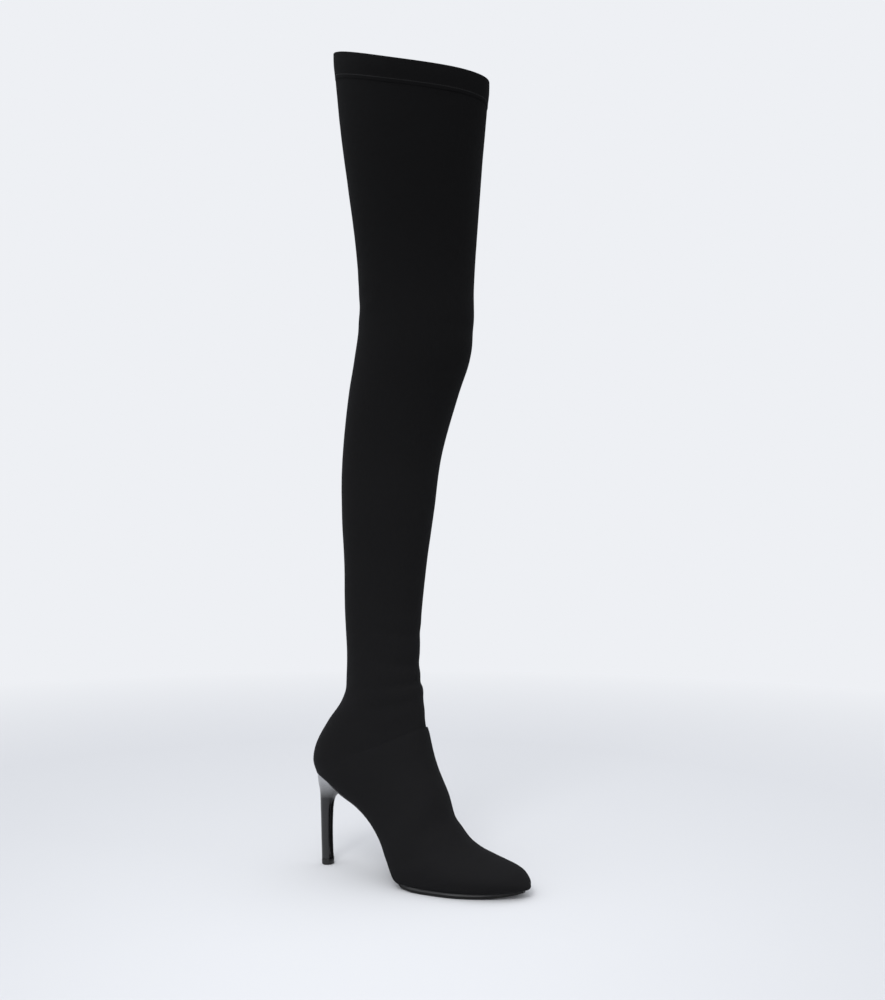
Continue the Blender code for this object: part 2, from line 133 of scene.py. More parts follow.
LEG_ROWS = (
    # height axis size    depth  width  tilt  widest low   high
    (1.000, 0.457, "thigh", 1.031, 0.971, 1.00, 0.56, 1.62, 1.78),
    (0.964, 0.458, "thigh", 1.003, 1.008, 0.90, 0.56, 1.74, 1.93),
    (0.892, 0.462, "thigh", 0.915, 1.045, 0.72, 0.55, 1.85, 2.08),
    (0.820, 0.475, "thigh", 0.831, 1.030, 0.52, 0.54, 1.92, 2.05),
    (0.752, 0.487, "knee", 1.065, 1.020, 0.32, 0.53, 1.98, 2.02),
    (0.692, 0.493, "knee", 1.007, 0.995, 0.16, 0.52, 2.00, 2.00),
    (0.640, 0.493, "knee", 1.000, 1.000, 0.04, 0.52, 2.00, 2.00),
    (0.592, 0.473, "knee", 1.015, 1.012, 0.00, 0.51, 2.00, 2.00),
    (0.540, 0.430, "knee", 0.955, 0.985, 0.00, 0.50, 2.00, 2.00),
    (0.458, 0.377, "calf", 1.004, 1.000, 0.00, 0.49, 2.00, 2.00),
    (0.385, 0.358, "calf", 0.940, 0.935, 0.00, 0.49, 2.00, 2.00),
    (0.310, 0.345, "calf", 0.850, 0.800, 0.00, 0.49, 2.00, 2.00),
    (0.240, 0.334, "ankle", 1.045, 1.075, 0.00, 0.50, 2.00, 2.00),
    (0.185, 0.335, "ankle", 1.000, 1.000, 0.00, 0.50, 2.00, 2.00),
)

FOOT_ROWS = (
    # bottom lift counter  top   rise  lateral medial seat inner  swing widest low high anchor edge
    (0.1664, 1.000, 1.440, 0.5000, 0.100, 0.363, 0.363, 0.000, 0.000, 0.000, 0.50, 2.00, 2.05, 0.0, 0.0),
    (0.1476, 1.000, 1.190, 0.5130, 0.260, 0.369, 0.369, 0.000, 0.000, 0.000, 0.47, 2.05, 2.10, 0.0, 0.0),
    (0.0815, 1.000, 0.880, 0.5175, 0.455, 0.382, 0.382, 0.010, 0.010, 0.000, 0.43, 2.20, 2.15, 0.1, 0.0),
    (0.0266, 1.000, 0.560, 0.5225, 0.618, 0.393, 0.393, 0.030, 0.030, 0.000, 0.40, 2.30, 2.20, 0.3, 0.0),
    (0.0052, 1.000, 0.290, 0.5265, 0.770, 0.394, 0.394, 0.040, 0.040, 0.000, 0.38, 2.15, 2.20, 0.5, 0.0),
    (0.0213, 1.000, 0.104, 0.5325, 0.870, 0.388, 0.388, 0.060, 0.060, 0.000, 0.36, 1.90, 2.20, 0.8, 0.0),
    (0.0430, 1.000, 0.089, 0.5385, 0.900, 0.388, 0.388, 0.140, 0.140, 0.000, 0.35, 1.90, 2.20, 1.0, -1.0),
    (0.1050, 1.010, 0.000, 0.5460, 0.890, 0.398, 0.398, 0.215, 0.215, 0.000, 0.34, 2.00, 2.20, 1.0, -0.5),
    (0.1794, 0.909, 0.000, 0.5525, 0.886, 0.401, 0.401, 0.242, 0.242, 0.000, 0.35, 2.00, 2.20, 1.0, 2.5),
    (0.2525, 0.775, 0.000, 0.5640, 0.868, 0.401, 0.401, 0.225, 0.220, 0.000, 0.36, 2.00, 2.20, 1.0, 0.8),
    (0.3213, 0.620, 0.000, 0.5800, 0.888, 0.414, 0.408, 0.240, 0.215, 0.000, 0.37, 2.00, 2.15, 1.0, 0.3),
    (0.3865, 0.440, 0.000, 0.6030, 0.935, 0.436, 0.420, 0.310, 0.240, 0.000, 0.36, 2.10, 2.10, 1.0, -0.3),
    (0.4358, 0.248, 0.000, 0.6270, 0.990, 0.475, 0.439, 0.390, 0.290, 0.000, 0.33, 2.30, 2.05, 1.0, -1.5),
    (0.4879, 0.024, 0.000, 0.6510, 0.980, 0.505, 0.462, 0.440, 0.350, 0.000, 0.30, 2.50, 2.00, 1.0, -5.0),
    (0.5492, 0.006, 0.000, 0.6790, 0.840, 0.513, 0.478, 0.465, 0.400, 0.000, 0.28, 2.60, 2.00, 1.0, 1.0),
    (0.6095, 0.000, 0.000, 0.7160, 0.662, 0.510, 0.490, 0.465, 0.435, 0.000, 0.28, 2.60, 2.00, 1.0, 1.0),
    (0.6740, 0.000, 0.000, 0.7620, 0.538, 0.497, 0.497, 0.452, 0.452, 0.003, 0.30, 2.60, 2.00, 1.0, 1.0),
    (0.7385, 0.000, 0.000, 0.8120, 0.465, 0.471, 0.475, 0.427, 0.430, 0.010, 0.32, 2.50, 2.00, 1.0, 1.0),
    (0.8030, 0.000, 0.000, 0.8630, 0.405, 0.427, 0.427, 0.375, 0.378, 0.022, 0.35, 2.40, 2.00, 1.0, 0.8),
    (0.8611, 0.000, 0.000, 0.9120, 0.350, 0.367, 0.367, 0.306, 0.310, 0.030, 0.38, 2.30, 2.00, 1.0, 0.5),
    (0.9105, 0.000, 0.000, 0.9500, 0.288, 0.296, 0.296, 0.232, 0.232, 0.036, 0.40, 2.20, 2.00, 1.0, -0.2),
    (0.9514, 0.000, 0.000, 0.9725, 0.218, 0.217, 0.217, 0.150, 0.150, 0.040, 0.42, 2.10, 2.00, 1.0, -1.2),
    (0.9794, 0.000, 0.000, 0.9901, 0.145, 0.139, 0.139, 0.075, 0.075, 0.043, 0.45, 2.00, 2.00, 1.0, -3.0),
    (0.9957, 0.000, 0.000, 1.0000, 0.072, 0.056, 0.056, 0.020, 0.020, 0.045, 0.50, 2.00, 2.00, 1.0, 0.0),
)


def smooth_between(start: float, end: float, values: np.ndarray) -> np.ndarray:
    """A smooth step.

    Args:
        start: where the step starts.
        end: where it ends.
        values: the values to read it at.

    Returns:
        0 before start, 1 after end and an even S between them.
    """
    t = np.clip((values - start) / (end - start), 0.0, 1.0)
    return t * t * (3.0 - 2.0 * t)


def curve_between(start: object, end: object, leave: object, arrive: object, t: float) -> object:
    """A value on a smooth curve between two values, which are numbers or arrays.

    Args:
        start: the value at the start.
        end: the value at the end.
        leave: the slope at the start, over the whole span.
        arrive: the slope at the end, over the whole span.
        t: how far along, from 0 to 1.

    Returns:
        The value there.
    """
    return (
        start * (2 * t**3 - 3 * t**2 + 1)
        + leave * (t**3 - 2 * t**2 + t)
        + end * (3 * t**2 - 2 * t**3)
        + arrive * (t**3 - t**2)
    )


@dataclass(frozen=True)
class BootForm:
    """The outer form of leg and foot, which every piece takes its place from.

    thigh, knee, calf and ankle are (depth, width).
    """

    foot_length: float = 0.2318
    heel_overhang: float = 0.0117
    ball_width: float = 0.0785
    instep_height: float = 0.0600
    counter_height: float = 0.0680
    seat_height: float = 0.0852
    tread_z: float = 0.0055
    toe_spring: float = 0.0022
    tread_end: float = 0.780
    shaft_height: float = 0.6895
    collar_drop: float = 0.0583
    collar_side_drop: float = 0.0081
    sole_margin: float = 0.0010
    seat_share: float = 3 / 18
    profile_steps: int = 96
    thigh: tuple[float, float] = (0.1620, 0.0950)
    knee: tuple[float, float] = (0.1150, 0.0920)
    calf: tuple[float, float] = (0.0990, 0.0840)
    ankle: tuple[float, float] = (0.0752, 0.0572)

    @property
    def sections(self) -> list[Section]:
        """The key sections, from the collar to the toe."""
        legs = [self._leg(LegRow(*row)) for row in LEG_ROWS]
        return legs + [self._foot(FootRow(*row)) for row in FOOT_ROWS]

    @property
    def last_place(self) -> float:
        """The place of the toe's last section, counted in rows from the collar."""
        return float(len(LEG_ROWS) + len(FOOT_ROWS) - 1)

    @staticmethod
    def foot_place(row: float) -> float:
        """The place of a row of the foot, counted in rows from the collar."""
        return len(LEG_ROWS) + row

    def _leg(self, row: LegRow) -> Section:
        """A leg row at its real size."""
        whole_depth, whole_width = getattr(self, row.size)
        depth = row.depth * whole_depth
        half_width = row.width * whole_width / 2
        middle = row.axis * self.foot_length - self.heel_overhang
        height = self.seat_height + row.height * self.shaft_height
        drop = row.tilt * self.collar_drop / 2
        sag = row.tilt * self.collar_side_drop / half_width**2
        return Section(
            middle - depth / 2, height + drop, middle + depth / 2, height - drop,
            half_width, half_width, 0.0, 0.0, 0.0,
            row.widest, row.low, row.high, 0.0, 0.0, sag,
        )

    def _foot(self, row: FootRow) -> Section:
        """A foot row at its real size."""
        ahead = max(0.0, row.bottom - self.tread_end) / (1.0 - self.tread_end)
        bottom = self.tread_z + row.lift * (self.seat_height - self.tread_z)
        bottom += row.counter * self.counter_height + self.toe_spring * ahead * ahead
        width = self.ball_width
        return Section(
            row.bottom * self.foot_length - self.heel_overhang, bottom,
            row.top * self.foot_length - self.heel_overhang, bottom + row.rise * self.instep_height,
            row.lateral * width, row.medial * width, row.seat * width, row.inner_seat * width,
            row.swing * width, row.widest, row.low, row.high, row.anchor,
            row.edge * self.sole_margin, 0.0,
        )

    def section_at(self, place: float) -> Section:
        """The section at a place, on a smooth curve through the rows.

        Args:
            place: rows from the collar, whole or not.

        Returns:
            The section there.
        """
        rows = KEY_SECTIONS
        last = len(rows) - 1
        start = min(int(place), last - 1)
        t = place - start
        p, q, r, s = (np.array(rows[max(0, min(last, start + step))]) for step in (-1, 0, 1, 2))
        return Section(*curve_between(q, r, (r - p) / 2, (s - q) / 2, t))

    def _half(self, section: Section, width: float, seat: float, shares: np.ndarray) -> np.ndarray:
        """Half a section's outline as points (along, across).

        Args:
            section: the section.
            width: half width on this side.
            seat: half width of the flat underside on this side.
            shares: where the points lie, from 0 at the back or bottom to 1 at the front or top.

        Returns:
            An array of points.
        """
        length = math.hypot(section.front_x - section.back_x, section.front_z - section.back_z)
        turn = np.linspace(0.0, math.pi / 2, self.profile_steps + 1)
        flat = np.linspace(0.0, max(seat, 0.0), 7)[:-1]
        low_along = section.widest * (1 - np.cos(turn) ** (2 / section.low))
        low_across = seat + (width - seat) * np.sin(turn) ** (2 / section.low)
        back = turn[::-1][1:]
        high_along = section.widest + (1 - section.widest) * np.cos(back) ** (2 / section.high)
        high_across = width * np.sin(back) ** (2 / section.high)
        along = np.concatenate([flat * 0.0, low_along, high_along])
        across = np.concatenate([flat, low_across, high_across])
        run = np.concatenate([[0.0], np.cumsum(np.hypot(np.diff(along) * length, np.diff(across)))])
        total = run[-1]
        even = total * self.seat_share
        corner = even + (seat - even) * section.anchor
        on_seat = corner * shares / self.seat_share
        beyond = corner + (total - corner) * (shares - self.seat_share) / (1.0 - self.seat_share)
        target = np.where(shares <= self.seat_share, on_seat, beyond)
        return np.stack([np.interp(target, run, along) * length, np.interp(target, run, across)], 1)

    def ring(self, place: float, columns: int, grow: float = 0.0, close_by: Sequence = ()) -> np.ndarray:
        """A section as a closed ring whose first and last points are the same.

        Args:
            place: rows from the collar.
            columns: even spans on each side of the section.
            grow: how far the ring is grown in its own plane.
            close_by: shares of further points beside the back line.

        Returns:
            An array of points, from the back or bottom by the outer side.
        """
        section = self.section_at(place)
        shares = np.union1d(np.linspace(0.0, 1.0, columns + 1), close_by)
        outer = self._half(section, section.lateral, section.seat, shares)
        inner = self._half(section, section.medial, section.inner_seat, shares)
        outer[:, 1] *= -1.0
        flat = np.concatenate([outer, inner[::-1][1:]])
        if grow:
            open_flat = flat[:-1]
            before = open_flat - np.roll(open_flat, 1, axis=0)
            after = np.roll(open_flat, -1, axis=0) - open_flat
            before /= np.maximum(np.linalg.norm(before, axis=1, keepdims=True), 1e-9)
            after /= np.maximum(np.linalg.norm(after, axis=1, keepdims=True), 1e-9)
            mitre = (before + after) / (1.0 + (before * after).sum(1, keepdims=True))
            moved = open_flat + np.stack([mitre[:, 1], -mitre[:, 0]], 1) * grow
            flat = np.concatenate([moved, moved[:1]])
        forward = np.array([section.front_x - section.back_x, 0.0, section.front_z - section.back_z])
        forward /= np.linalg.norm(forward)
        points = np.array([section.back_x, 0.0, section.back_z]) + flat[:, :1] * forward
        points[:, 1] = section.swing + flat[:, 1]
        points[:, 2] -= section.side_drop * flat[:, 1] ** 2
        return points

    def place_below(self, below: float) -> float:
        """The place that lies a height below the collar at the leg's middle."""
        heights = [(s.back_z + s.front_z) / 2 for s in KEY_SECTIONS[: len(LEG_ROWS)]]
        target = heights[0] - below
        return float(np.interp(-target, [-h for h in heights], range(len(heights))))

    def spaced_places(self, first: float, last: float, count: int) -> np.ndarray:
        """Places whose rings lie about evenly along the boot.

        Args:
            first: the first place.
            last: the last place.
            count: how many places.

        Returns:
            The places, first and last among them.
        """
        fine = np.linspace(first, last, 400)
        rings = np.array([self.ring(place, 12) for place in fine])
        steps = np.linalg.norm(np.diff(rings, axis=0), axis=2)
        run = np.concatenate([[0.0], np.cumsum(0.5 * steps.mean(1) + 0.5 * steps.max(1))])
        return np.interp(np.linspace(0.0, run[-1], count), run, fine)


FORM = BootForm()
KEY_SECTIONS = FORM.sections


@dataclass(frozen=True)
class Crease:
    """A soft trough, or a ridge where depth is negative, along a curve on the form.

    Each point is (place, turn). A turn runs from 0 at the back or underside by the outer side, at
    0.25, to the front at 0.5 and back by the inner side.
    """

    start: tuple[float, float]
    middle: tuple[float, float]
    end: tuple[float, float]
    depth: float
    width: float

    def path(self, columns: int) -> np.ndarray:
        """Points along the crease, with a share that fades towards both ends."""
        spots = []
        for t in np.linspace(0.0, 1.0, 15):
            weights = ((1 - t) * (1 - 2 * t), 4 * t * (1 - t), t * (2 * t - 1))
            place = sum(w * p[0] for w, p in zip(weights, (self.start, self.middle, self.end)))
            turn = sum(w * p[1] for w, p in zip(weights, (self.start, self.middle, self.end))) % 1.0
            ring = FORM.ring(place, columns)
            column = turn * (len(ring) - 1)
            low = int(column)
            high = min(low + 1, len(ring) - 1)
            point = ring[low] + (ring[high] - ring[low]) * (column - low)
            spots.append((*point, math.sin(math.pi * (0.08 + 0.84 * t)) ** 0.7))
        return np.array(spots)

    def relief(self, points: np.ndarray) -> np.ndarray:
        """How far each point moves outwards for this crease."""
        path = self.path(36)
        apart = np.linalg.norm(points[:, None, :] - path[None, :, :3], axis=2)
        nearest = apart.argmin(1)
        gap = apart[np.arange(len(points)), nearest] / self.width
        bulge = 0.35 * np.exp(-((gap - 1.7) ** 2) / 0.9)
        return -self.depth * path[nearest, 3] * (np.exp(-(gap**2)) - bulge)


def new_material(name: str) -> tuple[bpy.types.Material, bpy.types.Node, "Graph"]:
    """Starts a material.

    Args:
        name: the material's name.

    Returns:
        The material, its Principled shader and a helper for its nodes.
    """
    material = bpy.data.materials.new(name)
    material.use_nodes = True
    graph = Graph(material.node_tree)
    return material, material.node_tree.nodes["Principled BSDF"], graph


class Graph:
    """Adds and links nodes in a material's or the world's tree."""

    def __init__(self, tree: bpy.types.NodeTree) -> None:
        """Keeps the tree."""
        self.tree = tree

    def add(self, kind: str, inputs: Optional[dict] = None, **settings: object) -> bpy.types.Node:
        """Adds a node.

        Args:
            kind: the node's type.
            inputs: values or sockets for its inputs, by name or number.
            settings: its other settings.

        Returns:
            The node.
        """
        node = self.tree.nodes.new(kind)
        for key, value in settings.items():
            setattr(node, key, value)
        for key, value in (inputs or {}).items():
            if isinstance(value, bpy.types.NodeSocket):
                self.tree.links.new(value, node.inputs[key])
            else:
                node.inputs[key].default_value = value
        return node

    def math(self, operation: str, *values: object) -> bpy.types.NodeSocket:
        """The output of a Math node on one or two values."""
        node = self.add("ShaderNodeMath", dict(enumerate(values)), operation=operation)
        return node.outputs[0]

    def noise(self, scale: float, detail: float) -> bpy.types.NodeSocket:
        """A noise texture on the piece's own coordinates."""
        place = self.add("ShaderNodeTexCoord").outputs["Object"]
        inputs = {"Vector": place, "Scale": scale, "Detail": detail}
        return self.add("ShaderNodeTexNoise", inputs).outputs["Fac"]

    def height(self) -> bpy.types.NodeSocket:
        """The height above the floor, on the piece's own coordinates."""
        place = self.add("ShaderNodeTexCoord").outputs["Object"]
        return self.add("ShaderNodeSeparateXYZ", {0: place}).outputs[2]

    def bump(self, relief: bpy.types.NodeSocket, depth: float, strength: float) -> bpy.types.NodeSocket:
        """A bumped normal from a relief, its depth in metres and its strength."""
        inputs = {"Height": relief, "Distance": depth, "Strength": strength}
        return self.add("ShaderNodeBump", inputs).outputs[0]

    def link(self, output: bpy.types.NodeSocket, socket: bpy.types.NodeSocket) -> None:
        """Links two sockets."""
        self.tree.links.new(output, socket)

    def blend(self, factor: object, a: tuple, b: tuple) -> bpy.types.NodeSocket:
        """A colour between a and b, by factor."""
        node = self.add("ShaderNodeMix", data_type="RGBA")
        # the node keeps its factor at 0 and its two colours at 6 and 7
        for index, value in ((0, factor), (6, a), (7, b)):
            if isinstance(value, bpy.types.NodeSocket):
                self.link(value, node.inputs[index])
            else:
                node.inputs[index].default_value = value
        return node.outputs[2]


@dataclass(frozen=True)
class StretchKnit:
    """Matt black stretch knit: fine wales and courses, a soft nap and a faint sheen.

    Its tone is multiplied by one factor up to the height leg_from and by another from leg_to: painted light
    that makes the foot lighter and painted shade that makes the leg darker.
    """

    name: str = "stretch_knit"
    dark: tuple = (0.0048, 0.0047, 0.0051, 1.0)
    light: tuple = (0.0072, 0.0071, 0.0075, 1.0)
    roughness: float = 0.92
    sheen: float = 0.020
    wale: float = 0.00055
    course: float = 0.00042
    relief: float = 0.00007
    slant: float = 2.6
    nap_scale: float = 900.0
    cloud_scale: float = 16.0
    specular: float = 0.08
    sheen_tint: tuple = (0.80, 0.85, 0.92, 1.0)
    # painted light on the foot and painted shade up the leg, as factors on the tone
    foot_painted_light: float = 1.35
    leg_painted_shade: float = 0.75
    leg_from: float = 0.10
    leg_to: float = 0.62

    def build(self) -> bpy.types.Material:
        """Builds the material on the surface's own UV map, which is in metres."""
        material, shader, graph = new_material(self.name)
        place = graph.add("ShaderNodeUVMap", uv_map="surface").outputs["UV"]
        split = graph.add("ShaderNodeSeparateXYZ", {0: place})
        across = graph.math("MULTIPLY", split.outputs[0], 2 * math.pi / self.wale)
        along = graph.math("MULTIPLY", split.outputs[1], 2 * math.pi / self.course)
        chevron = graph.math("ABSOLUTE", graph.math("SINE", graph.math("MULTIPLY", across, 0.5)))
        lean = graph.math("ADD", along, graph.math("MULTIPLY", chevron, self.slant))
        loops = graph.math("MULTIPLY", graph.math("SINE", lean), 0.5)
        stitch = graph.math("MULTIPLY", graph.math("ADD", loops, 0.5), chevron)
        nap = graph.noise(self.nap_scale, 3.0)
        cloud = graph.noise(self.cloud_scale, 4.0)
        height = graph.math("ADD", stitch, graph.math("MULTIPLY", nap, 0.7))
        graph.link(graph.bump(height, self.relief, 0.8), shader.inputs["Normal"])
        tone = graph.math("ADD", graph.math("MULTIPLY", cloud, 0.6), graph.math("MULTIPLY", stitch, 0.4))
        # painted light and shade: the tone is multiplied by a factor that falls with height, lighter on the
        # foot and darker up the leg
        scale = graph.add("ShaderNodeMapRange", {
            "Value": graph.height(), "From Min": self.leg_from, "From Max": self.leg_to,
            "To Min": self.foot_painted_light, "To Max": self.leg_painted_shade,
        }).outputs[0]
        inputs = {0: graph.blend(tone, self.dark, self.light), "Scale": scale}
        painted_light_colour = graph.add("ShaderNodeVectorMath", inputs, operation="SCALE").outputs[0]
        graph.link(painted_light_colour, shader.inputs["Base Color"])
        rough = graph.math("ADD", self.roughness - 0.04, graph.math("MULTIPLY", cloud, 0.08))
        graph.link(rough, shader.inputs["Roughness"])
        shader.inputs["Specular IOR Level"].default_value = self.specular
        shader.inputs["Sheen Weight"].default_value = self.sheen
        shader.inputs["Sheen Roughness"].default_value = 0.35
        shader.inputs["Sheen Tint"].default_value = self.sheen_tint
        return material


@dataclass(frozen=True)
class SmoothFinish:
    """A plain hard finish: tone, gloss, a fine grain and faint wear."""

    name: str
    tone: tuple
    worn: tuple
    roughness: float
    grain: float
    grain_scale: float
    specular: float

    def build(self) -> bpy.types.Material:
        """Builds the material on Object coordinates."""
        material, shader, graph = new_material(self.name)
        fine = graph.noise(self.grain_scale, 5.0)
        broad = graph.noise(WEAR_SCALE, 3.0)
        graph.link(graph.blend(broad, self.tone, self.worn), shader.inputs["Base Color"])
        worn = graph.math("MULTIPLY", broad, self.roughness * 0.3)
        graph.link(graph.math("ADD", self.roughness * 0.85, worn), shader.inputs["Roughness"])
        graph.link(graph.bump(fine, self.grain, 0.6), shader.inputs["Normal"])
        shader.inputs["Specular IOR Level"].default_value = self.specular
        return material


@dataclass(frozen=True)
class HeelLacquer:
    """Black gloss lacquer; from cup_from up to cup_to its colour turns lighter grey and metallic, a painted
    reflection on the heel's cup.
    """

    name: str = "heel_lacquer_gloss"
    stem_tone: tuple = (0.004, 0.004, 0.005, 1.0)
    # painted reflection: the lighter grey that the cup is painted
    cup_painted_reflection: tuple = (0.400, 0.403, 0.412, 1.0)
    cup_from: float = 0.0660
    cup_to: float = 0.0850
    roughness: float = 0.20
    grain: float = 0.00001
    grain_scale: float = 700.0
    specular: float = 0.60

    def build(self) -> bpy.types.Material:
        """Builds the material on Object coordinates."""
        material, shader, graph = new_material(self.name)
        # painted reflection: from cup_from up to cup_to the lacquer is painted lighter grey and metallic
        inputs = {"Value": graph.height(), "From Min": self.cup_from, "From Max": self.cup_to}
        cup = graph.add("ShaderNodeMapRange", inputs).outputs[0]
        graph.link(graph.blend(cup, self.stem_tone, self.cup_painted_reflection), shader.inputs["Base Color"])
        graph.link(cup, shader.inputs["Metallic"])
        worn = graph.math("MULTIPLY", graph.noise(WEAR_SCALE, 3.0), self.roughness * 0.3)
        graph.link(graph.math("ADD", self.roughness * 0.85, worn), shader.inputs["Roughness"])
        fine = graph.noise(self.grain_scale, 5.0)
        graph.link(graph.bump(fine, self.grain, 0.6), shader.inputs["Normal"])
        shader.inputs["Specular IOR Level"].default_value = self.specular
        return material


# name, tone, worn tone, roughness, depth and scale of the grain, specular level
EDGE_INK = SmoothFinish(
    "sole_edge_ink", (0.008, 0.008, 0.009, 1.0), (0.014, 0.014, 0.015, 1.0), 0.48, 0.00002, 900.0, 0.40
)
TREAD = SmoothFinish(
    "sole_tread", (0.006, 0.006, 0.006, 1.0), (0.012, 0.012, 0.012, 1.0), 0.75, 0.00005, 1400.0, 0.25
)
TIP_RUBBER = SmoothFinish(
    "tip_rubber", (0.005, 0.005, 0.005, 1.0), (0.010, 0.010, 0.010, 1.0), 0.35, 0.00002, 1500.0, 0.40
)
INSOLE_SUEDE = SmoothFinish(
    "insole_lining", (0.010, 0.010, 0.010, 1.0), (0.022, 0.021, 0.020, 1.0), 0.85, 0.00008, 1200.0, 0.25
)
LINING = SmoothFinish(
    "shaft_lining", (0.009, 0.009, 0.009, 1.0), (0.014, 0.014, 0.014, 1.0), 0.80, 0.00004, 2200.0, 0.25
)
# painted shade: a matt near-black cover for the heel's breast, which darkens the stem's front side
BREAST_PAINTED_SHADE = SmoothFinish(
    "heel_breast_painted_shade", (0.003, 0.003, 0.003, 1.0), (0.005, 0.005, 0.005, 1.0),
    0.80, 0.00003, 1500.0, 0.05,
)
THREAD = SmoothFinish(
    "hem_thread", (0.010, 0.010, 0.011, 1.0), (0.016, 0.016, 0.017, 1.0), 0.35, 0.00004, 3000.0, 0.60
)


def mapped_grid(points: np.ndarray, uv: Optional[np.ndarray] = None) -> bmesh.types.BMesh:
    """A grid whose vertices are moved to an array of points.

    Args:
        points: rows by columns by three.
        uv: rows by columns by two, in metres, or None.

    Returns:
        The mesh, its doubles merged.
    """
    rows, columns = points.shape[:2]
    mesh = bmesh.new()
    layer = mesh.loops.layers.uv.new("surface")
    bmesh.ops.create_grid(mesh, x_segments=columns - 1, y_segments=rows - 1, size=1.0)
    spots = {
        vertex: (
            round((vertex.co.y + 1.0) / 2.0 * (rows - 1)),
            round((vertex.co.x + 1.0) / 2.0 * (columns - 1)),
        )
        for vertex in mesh.verts
    }
    if uv is not None:
        for face in mesh.faces:
            for loop in face.loops:
                loop[layer].uv = uv[spots[loop.vert]]
    for vertex, spot in spots.items():
        vertex.co = points[spot]
    bmesh.ops.remove_doubles(mesh, verts=mesh.verts, dist=SAME_SPOT)
    return mesh


def surface_uv(points: np.ndarray) -> np.ndarray:
    """Lengths across and along a grid of points, in metres, for a pattern that follows it."""
    across = np.linalg.norm(np.diff(points, axis=1), axis=2)
    across = np.concatenate([np.zeros((len(points), 1)), np.cumsum(across, axis=1)], axis=1)
    along = np.linalg.norm(np.diff(points, axis=0), axis=2).mean(1)
    along = np.concatenate([[0.0], np.cumsum(along)])
    return np.stack([across - across[:, -1:] / 2, np.broadcast_to(along[:, None], across.shape)], 2)


def close_holes(mesh: bmesh.types.BMesh) -> bmesh.types.BMesh:
    """Fills a mesh's open ends with fans, turns its faces outwards and gives it back."""
    rims = [edge for edge in mesh.edges if edge.is_boundary]
    filled = bmesh.ops.holes_fill(mesh, edges=rims, sides=0)["faces"]
    bmesh.ops.poke(mesh, faces=filled)
    bmesh.ops.recalc_face_normals(mesh, faces=mesh.faces)
    return mesh


def add_piece(
    name: str,
    mesh: bmesh.types.BMesh,
    materials: Sequence[bpy.types.Material],
    replaced: Sequence[str] = (),
    sharp: float = 40.0,
) -> bpy.types.Object:
    """Puts a mesh in the scene as a piece of the boot.

    Args:
        name: the piece's name.
        mesh: the mesh, which is freed.
        materials: its materials, in order.
        replaced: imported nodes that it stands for.
        sharp: edges over this angle, in degrees, stay sharp.

    Returns:
        The piece.
    """
    data = bpy.data.meshes.new(name)
    mesh.to_mesh(data)
    mesh.free()
    data.shade_smooth()
    data.set_sharp_from_angle(angle=math.radians(sharp))
    piece = bpy.data.objects.new(name, data)
    for material in materials:
        data.materials.append(material)
    bpy.context.scene.collection.objects.link(piece)
    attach(piece, "root")
    if replaced:
        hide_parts(*replaced)
    log.info("%s: %d faces", name, len(data.polygons))
    return piece


